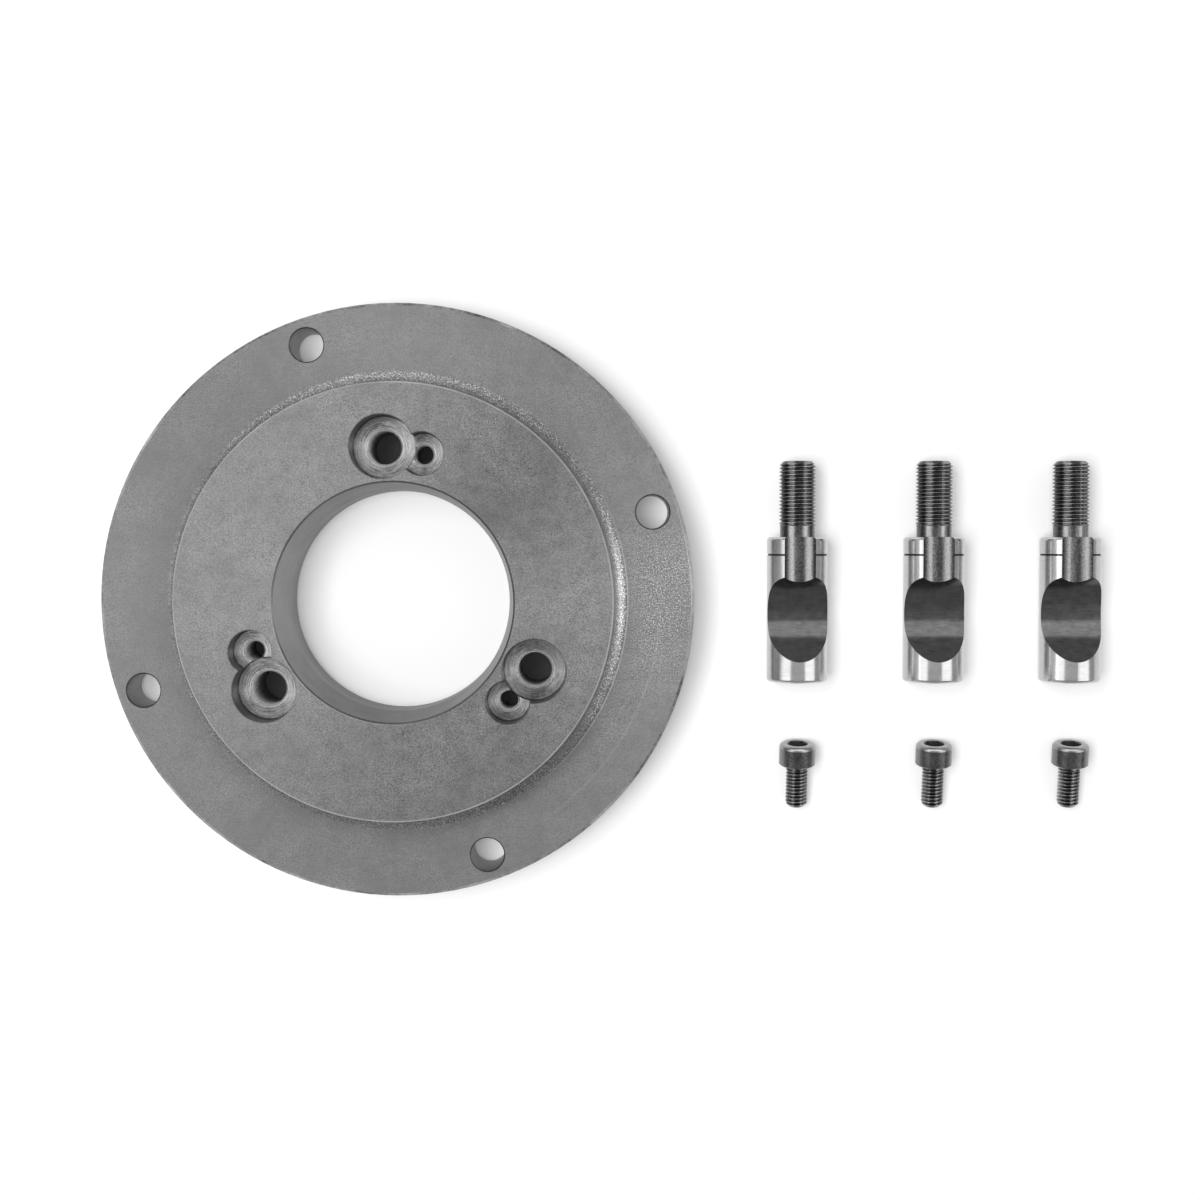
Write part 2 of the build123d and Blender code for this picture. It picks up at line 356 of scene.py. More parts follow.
class Nodes:
    """A short way to write a material's node tree."""

    def __init__(self, name, metallic=1.0):
        self.material = bpy.data.materials.new(name)
        self.material.use_nodes = True
        self.tree = self.material.node_tree
        self.shader = self.tree.nodes["Principled BSDF"]
        self.shader.inputs["Metallic"].default_value = metallic
        place = self.add("ShaderNodeTexCoord").outputs["Object"]
        inputs = {0: place, "Scale": 1 / MM}
        self.place = self.add("ShaderNodeVectorMath", inputs, operation="SCALE").outputs[0]

    def add(self, kind, inputs=None, **settings):
        """A node of a kind, with outputs or values for its inputs and with its settings."""
        node = self.tree.nodes.new(kind)
        for key, value in settings.items():
            setattr(node, key, value)
        for key, value in (inputs or {}).items():
            if isinstance(value, bpy.types.NodeSocket):
                self.tree.links.new(value, node.inputs[key])
            else:
                node.inputs[key].default_value = value
        return node

    def math(self, operation, first, second=0.0, third=0.0):
        """What a maths node makes of up to three values."""
        inputs = {0: first, 1: second, 2: third}
        return self.add("ShaderNodeMath", inputs, operation=operation).outputs[0]

    def parts(self, vector):
        """A vector's three parts."""
        return self.add("ShaderNodeSeparateXYZ", {0: vector}).outputs

    def flat(self, across, along):
        """A flat vector from its two parts."""
        return self.add("ShaderNodeCombineXYZ", {0: across, 1: along, 2: 0.0}).outputs[0]

    def ramp(self, value, low, high, start=0.0, end=1.0):
        """From start to end as a value goes from low to high, and no further."""
        inputs = {"Value": value, "From Min": low, "From Max": high, "To Min": start, "To Max": end}
        return self.add("ShaderNodeMapRange", inputs).outputs[0]

    def stretch(self, vector, scale, turn=0.0):
        """A vector turned in the plane and scaled along its axes."""
        inputs = {"Vector": vector, "Scale": scale, "Rotation": (0.0, 0.0, turn)}
        return self.add("ShaderNodeMapping", inputs).outputs[0]

    def noise(self, vector, size, detail=3.0, roughness=0.5):
        """Noise whose patches are about so many millimetres across, spread round 0."""
        inputs = {"Vector": vector, "Scale": 1.0 / size, "Detail": detail, "Roughness": roughness}
        return self.math("SUBTRACT", self.add("ShaderNodeTexNoise", inputs).outputs["Fac"], 0.5)

    def mix_up(self, *shares):
        """The sum of several values, each times its share."""
        total = None
        for value, share in shares:
            total = self.math("MULTIPLY_ADD", value, share, 0.0 if total is None else total)
        return total

    def within(self, value, low, high, soft):
        """1 where the value is between low and high, 0 outside, with soft sides."""
        rise = self.ramp(value, low - soft, low + soft)
        fall = self.ramp(value, high - soft, high + soft, 1.0, 0.0)
        return self.math("MULTIPLY", rise, fall)

    def polar(self, vector):
        """The distance from the axis, the angle round it and the height."""
        parts = self.parts(vector)
        return self.length(parts[0], parts[1]), self.math("ARCTAN2", parts[1], parts[0]), parts[2]

    def length(self, across, along):
        """The length of a flat vector."""
        squares = [self.math("POWER", part, 2.0) for part in (across, along)]
        return self.math("SQRT", self.math("ADD", *squares))

    def from_stud_hole(self, reach, angle):
        """The place from the nearest stud hole's axis, outwards and aside, and the site's turn."""
        third = 2 * math.pi / STUD_COUNT
        from_start = self.math("SUBTRACT", angle, math.radians(STUD_START_ANGLE))
        folded = self.math("WRAP", from_start, third / 2, -third / 2)
        outwards = self.math("MULTIPLY", reach, self.math("COSINE", folded))
        out = self.math("SUBTRACT", outwards, STUD_CIRCLE_RADIUS)
        aside = self.math("MULTIPLY", reach, self.math("SINE", folded))
        return out, aside, self.math("SUBTRACT", angle, folded)

    def from_axis(self, first):
        """How far right of the nearest axis in a row a place is, with the first axis given."""
        across = self.math("SUBTRACT", self.parts(self.place)[0], first)
        return self.math("WRAP", across, STUD_SPACING / 2, -STUD_SPACING / 2)

    def beside_axis(self, first, low, high, soft=0.3):
        """1 between two distances from the nearest loose piece's axis, on both of its sides."""
        return self.within(self.math("ABSOLUTE", self.from_axis(first)), low, high, soft)

    def thread_depth(self):
        """0 on a thread's crests and 1 in its roots."""
        return self.add("ShaderNodeAttribute", attribute_name=DEPTH_ATTRIBUTE).outputs["Fac"]

    def spread_outwards(self, place, share):
        """Draws the gloss out across marks that run round an axis."""
        parts = self.parts(place)
        around = self.flat(self.math("MULTIPLY", parts[1], -1.0), parts[0])
        tangent = self.add("ShaderNodeVectorMath", {0: around}, operation="NORMALIZE").outputs[0]
        self.link(tangent, "Tangent")
        self.shader.inputs["Anisotropic"].default_value = share
        self.shader.inputs["Anisotropic Rotation"].default_value = QUARTER_TURN

    def turned(self, reach, angle, fine, along=1.5):
        """Lathe marks: noise drawn out round the axis."""
        marks = self.flat(reach, self.math("MULTIPLY", angle, along))
        return self.noise(marks, fine, 2.0, 0.6)

    def colour(self, value, dark, light, spread=NOISE_SPREAD):
        """Grey from dark to light as the value goes from -spread to +spread."""
        level = self.ramp(value, -spread, spread, dark, light)
        parts = {0: level, 1: level, 2: self.math("MULTIPLY", level, BLUE_TINT)}
        self.link(self.add("ShaderNodeCombineColor", parts).outputs[0], "Base Color")

    def rough(self, value, low, high):
        """Roughness from low to high with a noise."""
        self.link(self.ramp(value, -NOISE_SPREAD, NOISE_SPREAD, low, high), "Roughness")

    def bump(self, height, depth):
        """Relief of a depth in millimetres."""
        inputs = {"Height": height, "Strength": 1.0, "Distance": depth * MM}
        self.link(self.add("ShaderNodeBump", inputs).outputs["Normal"], "Normal")

    def link(self, output, name):
        """Leads an output into the material's shader."""
        self.tree.links.new(output, self.shader.inputs[name])


def plate_steel():
    """The plate's machined skin: matt, cloudy and speckled, with faint lathe and brush marks, and
    painted light: sparkle, highlight lines and shade by bearing.
    """
    n = Nodes("plate_steel_turned")
    reach, angle, height = n.polar(n.place)

    def within_ring(bearings, reaches):
        """1 on one part of a ring."""
        return n.math("MULTIPLY", n.within(angle, *bearings), n.within(reach, *reaches))

    grain = n.noise(n.place, 0.36, 2.0, 0.8)
    speck = n.noise(n.place, 0.7, 3.0, 0.7)
    patch = n.noise(n.place, 1.6, 3.0, 0.6)
    mottle = n.noise(n.place, 3.6, 4.0, 0.6)
    cloud = n.noise(n.place, 15.0, 3.0, 0.5)
    rings = n.turned(reach, angle, 0.5)
    brush = n.noise(n.stretch(n.place, (0.22, 2.2, 1.0), 0.5), 1.1, 3.0, 0.6)
    cross = n.noise(n.stretch(n.place, (2.2, 0.22, 1.0), 0.35), 1.1, 3.0, 0.6)

    at_flange = n.within(height, *FLANGE_HEIGHTS)
    on_face = n.within(reach, *FACE_REACH)
    fillet = n.math("MULTIPLY", n.within(reach, *FILLET_REACH), at_flange)
    # Painted sparkle zones: on the right of the flange, and beside the fillet's foot
    glint_zone = n.math("MULTIPLY", within_ring(*GLINT_ZONE), at_flange)
    foot_sparkle = n.math("MULTIPLY", within_ring(*FOOT_SPARKLE), at_flange)
    # Painted highlight: the rim's bright line on the right
    rim_highlight = n.math("MULTIPLY", within_ring(*RIM_HIGHLIGHT), at_flange)
    # Painted highlight and painted shade: a light and a dark line at the fillet's foot, on the
    # right only
    foot_highlight_and_shade = n.mix_up(
        (n.within(reach, *FOOT_HIGHLIGHT_REACH), 1.0),
        (n.within(reach, *FOOT_SHADE_REACH), -0.6),
    )
    at_right = n.math("MULTIPLY", n.within(angle, *FOOT_BEARINGS), at_flange)
    foot = n.math("MULTIPLY", foot_highlight_and_shade, at_right)
    # Painted highlight: sparkle where the grain is brightest, most on the fillet's right and top
    # and in the zone on the flange
    glinting = n.mix_up(
        (n.within(angle, *GLINT_RIGHT_BEARINGS), 1.0),
        (n.within(angle, *GLINT_TOP_BEARINGS), 0.6),
        (1.0, 0.15),
    )
    glint = n.ramp(grain, *GLINT_GRAIN)
    bright_fillet = n.math("MULTIPLY", fillet, glinting)
    glints = n.math("MULTIPLY", glint, n.mix_up((glint_zone, 5.0), (bright_fillet, 9.0)))
    # Painted shade at the boss's root on its lower side, and a darker patch on the fillet at the
    # lower right
    root_shade_and_patch = n.mix_up((within_ring(*ROOT_SHADE), 0.35), (within_ring(*DARK_PATCH), 1.0))
    root_shade_and_patch_tone = n.math("MULTIPLY", root_shade_and_patch, n.math("ADD", 0.8, mottle))
    # Painted light: the face lighter to the left and darker to the right
    painted_light_to_left = n.math("MULTIPLY", n.math("COSINE", angle), on_face)
    # Painted shade: the flange darker on its upper left
    painted_shade_upper_left = n.math("MULTIPLY", n.within(angle, *UPPER_LEFT_SHADE_BEARINGS), at_flange)
    scratches = n.mix_up((grain, 1.3), (patch, 0.4), (mottle, 0.45))
    scratched = n.math("MULTIPLY", scratches, on_face)
    # Painted shade by bearing on the face and the flange
    painted_light_by_bearing = n.mix_up(
        (n.within(angle, *LOWER_SHADE_BEARINGS), 0.55),
        (n.within(angle, *UPPER_SHADE_BEARINGS), 0.65),
    )
    shade = n.math("MULTIPLY", painted_light_by_bearing, n.math("MULTIPLY_ADD", on_face, 0.6, 0.3))

    out, aside, _ = n.from_stud_hole(reach, angle)
    to_lock = (n.math("ADD", out, LOCK_SHIFT[0]), n.math("ADD", aside, LOCK_SHIFT[1]))
    edges = [(n.length(out, aside), SOCKET_RADIUS), (n.length(*to_lock), LOCK_POCKET_RADIUS)]
    # Painted shade: a dark outline along each pocket's edge
    edge_shades = [
        n.within(away, radius - OUTLINE_INSIDE, radius + OUTLINE_OUTSIDE, OUTLINE_OUTSIDE)
        for away, radius in edges
    ]

    changes = n.mix_up((cloud, 3.0), (glint_zone, 0.5), (foot_sparkle, 1.0), (fillet, 0.6))
    lively = n.math("ADD", 0.9, changes)
    fine = n.math("MULTIPLY", n.mix_up((grain, 3.2), (speck, 1.2)), lively)
    skin = n.mix_up(
        (fine, 1.0), (mottle, 0.9), (cloud, 0.8), (rings, 0.2), (brush, 0.2), (cross, 0.2)
    )
    value = n.mix_up(
        (root_shade_and_patch_tone, -0.8),
        (shade, -0.7),
        (scratched, 1.0),
        (within_ring(*LIT_TURNING_MARK), 0.35),
        (foot, 2.2),
        # Painted shade: the fillet darker all round, in its crease
        (fillet, -0.25),
        (glint_zone, -0.3),
        (painted_light_to_left, -0.18),
        (within_ring(*MOUTH_HIGHLIGHT), 0.9),
        (rim_highlight, 4.0),
        (painted_shade_upper_left, -0.28),
        (n.math("MAXIMUM", *edge_shades), -1.3),
        (glints, 1.0),
        (skin, 1.0),
        (1.0, -0.75),
    )
    n.colour(value, 0.1, 0.9, 2.5)
    n.rough(n.mix_up((mottle, 0.3), (fillet, -0.2)), 0.28, 0.7)
    n.bump(n.mix_up((grain, 0.7), (rings, 0.5), (mottle, 1.0)), 0.05)
    n.spread_outwards(n.place, 0.45)
    return n.material


def edge_steel(name, dark, light, middle=0.0, glint=None, share=0.0):
    """A broken edge, uneven along its length, with a painted highlight between two bearings."""
    n = Nodes(name)
    _, angle, _ = n.polar(n.place)
    wear = n.noise(n.place, 1.2, 4.0, 0.7)
    value = n.mix_up((wear, 0.9), (n.noise(n.place, 13.0), 1.2), (1.0, middle))
    if glint:
        # Painted highlight between the two bearings
        value = n.mix_up((n.within(angle, *glint, 0.2), share), (value, 1.0))
    n.colour(value, dark, light)
    n.rough(wear, 0.28, 0.46)
    n.bump(wear, 0.04)
    return n.material


def pocket_steel():
    """Pocket floors cut by a counterbore: rings round the hole's own axis and bright specks, with
    painted light: lighter to the sides of the hole, painted shade at the corner, a painted
    highlight at the lip.
    """
    n = Nodes("plate_steel_counterbored")
    reach, angle, height = n.polar(n.place)
    out, aside, turn = n.from_stud_hole(reach, angle)
    between_floors = FACE_HEIGHT - (SOCKET_DEPTH + LOCK_POCKET_DEPTH) / 2
    in_lock = n.math("GREATER_THAN", height, between_floors)
    across = n.math("MULTIPLY_ADD", in_lock, LOCK_SHIFT[0], out)
    along = n.math("MULTIPLY_ADD", in_lock, LOCK_SHIFT[1], aside)
    tool = n.flat(across, along)
    away, tool_angle, _ = n.polar(tool)
    rings = n.turned(away, tool_angle, 0.3, 0.5)
    speck = n.noise(n.place, 0.4, 3.0, 0.8)
    patch = n.noise(n.place, 1.5, 3.0, 0.6)
    rim = n.math("MULTIPLY_ADD", in_lock, LOCK_POCKET_RADIUS - SOCKET_RADIUS, SOCKET_RADIUS)
    narrower = SCREW_THREAD_RADIUS - STUD_THREAD_RADIUS
    mouth = n.math("MULTIPLY_ADD", in_lock, narrower, STUD_THREAD_RADIUS)
    # Painted shade at the pocket's corner, and a painted highlight at the hole's lip
    corner = n.within(n.math("SUBTRACT", away, rim), *CORNER_SHADE_RING)
    lip_highlight = n.within(n.math("SUBTRACT", away, mouth), *LIP_HIGHLIGHT_RING)
    turn_back = {"Vector": tool, "Angle": turn}
    facing = n.add("ShaderNodeVectorRotate", turn_back, rotation_type="Z_AXIS").outputs[0]
    _, bearing, _ = n.polar(facing)
    # Painted highlight and shade: lighter to the right and left of the hole, a little more to the
    # right, darker above and below it
    sides = n.math("COSINE", n.math("MULTIPLY_ADD", bearing, 2.0, -0.35))
    value = n.mix_up(
        (rings, 2.2),
        (speck, 0.8),
        (patch, 1.0),
        (sides, 0.37),
        (n.math("COSINE", bearing), 0.08),
        (corner, -0.9),
        (lip_highlight, 0.6),
        (1.0, -0.15),
    )
    n.colour(value, 0.08, 0.76, 1.0)
    n.rough(patch, 0.22, 0.3)
    n.spread_outwards(facing, 0.92)
    n.bump(n.mix_up((speck, 0.25), (rings, 1.0)), 0.05)
    return n.material


def wall_steel(name, dark, light, sides=0.0):
    """Walls of pockets, bolt holes and the bore, darker than the faces as painted shade, and with a
    painted sheen by bearing where given.
    """
    n = Nodes(name)
    _, angle, _ = n.polar(n.place)
    grain = n.noise(n.place, 0.4, 3.0, 0.7)
    streak = n.noise(n.stretch(n.place, (1.0, 1.0, 5.0)), 0.9, 3.0, 0.6)
    cloud = n.noise(n.place, 9.0)
    # Painted highlight and shade: lighter at the left and right, darker at the top and bottom
    painted_light_by_bearing = n.math("COSINE", n.math("MULTIPLY", angle, 2.0))
    n.colour(n.mix_up((grain, 0.8), (streak, 0.7), (cloud, 0.6), (painted_light_by_bearing, sides)), dark, light)
    n.rough(grain, 0.34, 0.48)
    n.bump(streak, 0.03)
    return n.material


def tapped_steel():
    """Tapped holes: painted light near the mouth, and painted shade deeper down and in the thread's
    roots.
    """
    n = Nodes("plate_steel_tapped", 0.2)
    grain = n.noise(n.place, 0.4, 3.0, 0.7)
    # Painted light near the mouth and painted shade deeper down; the thread's roots get painted
    # shade too
    lit = n.ramp(n.parts(n.place)[2], *HOLE_SHADE_HEIGHTS, -0.6, 0.5)
    value = n.mix_up((grain, 2.2), (lit, 1.0), (n.thread_depth(), -0.7), (1.0, 0.15))
    n.colour(value, 0.22, 0.95)
    n.rough(grain, 0.3, 0.45)
    return n.material


def hole_floor_steel():
    """The floors of the tapped holes, dull with oil."""
    n = Nodes("plate_steel_hole_floor", 0.0)
    grain = n.noise(n.place, 0.6, 3.0, 0.7)
    n.colour(grain, 0.42, 0.64)
    n.rough(grain, 0.5, 0.7)
    return n.material


def stud_steel():
    """Ground steel of a stud's body: bright, with very fine marks round it, and a band of painted
    highlight along its left side.
    """
    n = Nodes("stud_steel_ground")
    lines = n.noise(n.stretch(n.place, (0.25, 4.0, 0.25)), 0.9, 3.0, 0.6)
    mottle = n.noise(n.place, 1.4, 4.0, 0.6)
    cloud = n.noise(n.place, 9.0)
    foot = STUD_Y - STUD_LENGTH / 2
    low = foot + STUD_END_MARGINS[0]
    high = foot + STUD_BODY_LENGTH - STUD_END_MARGINS[1]
    round_part = n.within(n.parts(n.place)[1], low, high, STUD_END_SOFTNESS)
    # Painted highlight: a lighter band on the stud's left side, kept off its ends
    left = n.math("MULTIPLY", n.within(n.from_axis(STUD_X), *STUD_LEFT_HIGHLIGHT), round_part)
    n.colour(n.mix_up((lines, 0.2), (mottle, 0.2), (cloud, 0.15), (left, 0.4)), 0.1, 0.9)
    n.rough(mottle, 0.15, 0.23)
    n.bump(lines, 0.004)
    return n.material


def milled_steel(name, dark, light, highlight_reach, rough, relief):
    """A milled channel or a turned neck: specked and streaked, with painted highlight bands along
    its sides.
    """
    n = Nodes(name)
    speck = n.noise(n.place, 0.55, 4.0, 0.75)
    line = n.noise(n.stretch(n.place, (3.0, 0.3, 3.0)), 1.0, 3.0, 0.6)
    # Painted highlight bands to each side of the stud's axis
    highlight_bands = n.beside_axis(STUD_X, *highlight_reach, 0.4)
    n.colour(n.mix_up((speck, 1.5), (line, 0.6), (highlight_bands, 0.75), (1.0, -0.35)), dark, light)
    n.rough(speck, rough, rough + 0.1)
    n.bump(speck, relief)
    return n.material


def notch_steel():
    """The cam notch, coloured dark."""
    n = Nodes("stud_steel_notch", 0.85)
    line = n.noise(n.stretch(n.place, (0.3, 3.0, 3.0)), 1.0, 3.0, 0.6)
    mottle = n.noise(n.place, 2.2, 4.0, 0.6)
    n.colour(n.mix_up((line, 1.5), (mottle, 1.5)), 0.06, 0.12)
    n.rough(mottle, 0.16, 0.26)
    n.bump(line, 0.008)
    return n.material


def thread_steel(name, dark, light, first, highlight_reach):
    """A cut thread: painted shade in its roots, bright specks, and painted highlight bands to each
    side of its axis.
    """
    n = Nodes(name)
    speck = n.noise(n.place, 0.45, 4.0, 0.8)
    patch = n.noise(n.place, 2.5)
    # Painted highlight bands to each side of the axis, and painted shade in the thread's roots
    highlight_bands = n.beside_axis(first, *highlight_reach, 0.35)
    depth = n.thread_depth()
    value = n.mix_up((speck, 1.8), (patch, 0.8), (depth, -0.5), (highlight_bands, 0.75), (1.0, -0.3))
    n.colour(value, dark, light)
    n.rough(speck, 0.1, 0.22)
    n.bump(speck, 0.02)
    return n.material


def groove_steel():
    """The depth ring's groove, coloured almost black."""
    n = Nodes("stud_steel_groove")
    speck = n.noise(n.place, 0.5, 3.0, 0.7)
    n.colour(speck, 0.02, 0.07)
    n.rough(speck, 0.5, 0.7)
    return n.material


def black_steel(name, dark, light, metallic=1.0, highlight_reach=None):
    """Black oxide on the lock screws, slightly uneven, and with painted reflection bands beside the
    axis where a reach for them is given.
    """
    n = Nodes(name, metallic)
    speck = n.noise(n.place, 0.6, 4.0, 0.75)
    mottle = n.noise(n.place, 2.2, 3.0, 0.5)
    value = n.mix_up((speck, 1.3), (mottle, 0.9))
    if highlight_reach:
        # Painted reflection: lighter bands beside the axis
        value = n.mix_up((n.beside_axis(SCREW_X, *highlight_reach), 0.9), (value, 1.0))
    n.colour(value, dark, light)
    n.rough(speck, 0.2, 0.32)
    n.bump(speck, 0.03)
    return n.material


plate_material = plate_steel()
# The boss's edge and the rim get a painted highlight on their right
boss_edge_material = edge_steel("plate_steel_boss_edge", 0.3, 0.64, 0.0, (-0.3, 0.25), 0.4)
rim_material = edge_steel("plate_steel_rim", 0.1, 0.8, -0.26, (-0.12, 0.32), 0.8)
bore_edge_material = edge_steel("plate_steel_bore_edge", 0.12, 0.3)
hole_edge_material = edge_steel("plate_steel_hole_edge", 0.08, 0.2)
pocket_material = pocket_steel()
wall_material = wall_steel("plate_steel_wall", 0.14, 0.32)
bore_material = wall_steel("plate_steel_bore", 0.06, 0.25, 0.35)
tapped_material = tapped_steel()
hole_floor_material = hole_floor_steel()
stud_material = stud_steel()
# Painted highlight bands on the channel and the neck, at these reaches from the stud's axis
channel_material = milled_steel("stud_steel_milled", 0.06, 0.32, (1.5, 3.4), 0.22, 0.05)
neck_material = milled_steel("stud_steel_neck", 0.07, 0.32, (1.2, 3.0), 0.18, 0.02)
notch_material = notch_steel()
# Painted highlight bands on the stud threads at these reaches from the axis
thread_material = thread_steel("stud_steel_thread", 0.07, 0.4, STUD_X, (1.2, 3.2))
groove_material = groove_steel()
# Painted reflection: lighter bands along the screw heads' sides
black_material = black_steel("black_steel_oxide", 0.035, 0.19, 1.0, (3.5, 5.3))
# Painted highlight: the screw head's top ring, lighter than the rest of the oxide
ring_highlight_material = black_steel("black_steel_ring_highlight", 0.2, 0.42)
hex_material = black_steel("black_steel_socket", 0.03, 0.07, 0.2)
# Painted highlight bands on the screw threads at these reaches from the axis
screw_thread_material = thread_steel("black_steel_thread", 0.06, 0.36, SCREW_X, (0.8, 2.2))


# Cam studs


def notch_height(along):
    """How high over the stud's axis the cam notch's floor is."""
    from_axis = along - NOTCH_DISTANCE
    arc = NOTCH_AXIS_HEIGHT - np.sqrt(np.maximum(NOTCH_RADIUS**2 - from_axis**2, 0))
    ramp_side = -NOTCH_RADIUS * math.sin(NOTCH_RAMP)
    ramp_foot = NOTCH_AXIS_HEIGHT - NOTCH_RADIUS * math.cos(NOTCH_RAMP)
    ramp = ramp_foot + (ramp_side - from_axis) * math.tan(NOTCH_RAMP)
    return np.where(from_axis < ramp_side, ramp, arc)


def make_stud(number):
    """The stud's body from the frame, with a cut thread in place of its plain end."""
    name = f"camlock_stud_{number}"
    middle = STUD_X + (number - 1) * STUD_SPACING
    foot = STUD_Y - STUD_LENGTH / 2

    def material_of(corners, _):
        across = corners[:, 0] / MM - middle
        along = corners[:, 1] / MM - foot
        up = corners[:, 2] / MM - STUD_RADIUS
        away = np.hypot(across, up)
        if along.min() > STUD_NECK_END - EXACT:
            return None
        if along.min() > STUD_BODY_LENGTH - EXACT and away.max() < STUD_THREAD_RADIUS:
            return neck_material
        in_ring = RING_SPAN[0] < along.min() and along.max() < RING_SPAN[1]
        if in_ring and away.min() < STUD_RADIUS - CLOSE:
            return groove_material
        from_channel = np.abs(np.hypot(across, up - LOCK_OFFSET) - CHANNEL_RADIUS)
        if from_channel.max() < ON_SURFACE and up.max() < STUD_RADIUS - INSIDE_EDGE:
            return channel_material
        if np.abs(notch_height(along) - up).max() < ON_SURFACE:
            return notch_material
        return stud_material

    parts = sorted_faces(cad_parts[name].data, material_of)
    end_radius = STUD_THREAD_RADIUS - STUD_TIP_CHAMFER

    def radius_at(along, depth):
        fade = np.clip((along - STUD_NECK_END) / STUD_FADE, 0, 1)
        radius = STUD_THREAD_RADIUS - MALE_DEPTH * depth * fade
        radius = np.minimum(radius, STUD_NECK_RADIUS + (along - STUD_NECK_END))
        return np.minimum(radius, end_radius + (STUD_LENGTH - along))

    thread = surface(*helix_grid(STUD_NECK_END, STUD_LENGTH, radius_at, STUD_SEGMENTS))
    end = cap(end_radius, STUD_LENGTH, STUD_SEGMENTS)
    lay = Matrix.Translation(Vector((middle, foot, STUD_RADIUS)) * MM)
    lay = lay @ Matrix.Rotation(-math.pi / 2, 4, "X") @ Matrix.Scale(MM, 4)
    depths = thread_depths(thread, STUD_THREAD_RADIUS, MALE_DEPTH)
    parts += [(moved(thread, lay), thread_material, depths), (moved(end, lay), thread_material)]
    piece = assembled(name + "_threaded", parts)
    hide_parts(name)
    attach(piece, "root")
    return piece


# Lock screws


def make_lock_screw(number):
    """The screw's head from the frame, with a rolled thread in place of its plain shank."""
    name = f"lock_screw_{number}"
    middle = SCREW_X + (number - 1) * SCREW_SPACING
    tip_y = SCREW_Y - SCREW_WHOLE_LENGTH / 2 * math.cos(SCREW_TILT)
    tip_height = SCREW_THREAD_RADIUS * math.cos(SCREW_TILT)
    tip_height -= SCREW_TIP_CHAMFER * math.sin(SCREW_TILT)
    lay = Matrix.Translation(Vector((middle, tip_y, tip_height)) * MM)
    lay = lay @ Matrix.Rotation(SCREW_TILT - math.pi / 2, 4, "X") @ Matrix.Scale(MM, 4)
    back = np.array(lay.inverted())

    def material_of(corners, _):
        local = corners @ back[:3, :3].T + back[:3, 3]
        along = local[:, 2]
        away = np.hypot(local[:, 0], local[:, 1])
        if along.max() <= SCREW_LENGTH + EXACT and away.max() <= SCREW_THREAD_RADIUS + NEAR:
            return None
        if away.max() < HEX_REACH and along.min() > SCREW_LENGTH + INSIDE_EDGE:
            return hex_material
        # The top ring of the head gets the painted highlight
        on_end = along.min() > SCREW_WHOLE_LENGTH - SCREW_HEAD_ROUNDING - CLOSE
        return ring_highlight_material if on_end and away.min() > RING_HIGHLIGHT_REACH else black_material

    parts = sorted_faces(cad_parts[name].data, material_of)
    end_radius = SCREW_THREAD_RADIUS - SCREW_TIP_CHAMFER

    def radius_at(along, depth):
        runout = np.clip((SCREW_LENGTH - SCREW_NECK - along) / SCREW_FADE, 0, 1)
        step = np.clip(along - SCREW_LENGTH + SCREW_NECK_STEP, 0, SCREW_NECK_STEP)
        neck = SCREW_NECK_RADIUS + step
        radius = neck + (SCREW_THREAD_RADIUS - MALE_DEPTH * depth - neck) * runout
        return np.minimum(radius, end_radius + along)

    thread = surface(*helix_grid(0.0, SCREW_LENGTH, radius_at, SCREW_SEGMENTS))
    end = moved(cap(end_radius, 0.0, SCREW_SEGMENTS), Matrix.Rotation(math.pi, 4, "X"))
    depths = thread_depths(thread, SCREW_THREAD_RADIUS, MALE_DEPTH)
    parts.append((moved(thread, lay), screw_thread_material, depths))
    parts.append((moved(end, lay), screw_thread_material))
    piece = assembled(name + "_threaded", parts)
    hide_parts(name)
    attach(piece, "root")
    return piece


# Backplate


def site_places():
    """The middles of each stud hole and of its lock screw hole."""
    places = []
    for index in range(STUD_COUNT):
        angle = math.radians(STUD_START_ANGLE + index * 360 / STUD_COUNT)
        out = np.array([math.cos(angle), math.sin(angle)])
        clockwise = np.array([out[1], -out[0]])
        stud = out * STUD_CIRCLE_RADIUS
        lock = stud + LOCK_OFFSET * (math.cos(LOCK_TURN) * clockwise - math.sin(LOCK_TURN) * out)
        places.append((stud, lock))
    return places


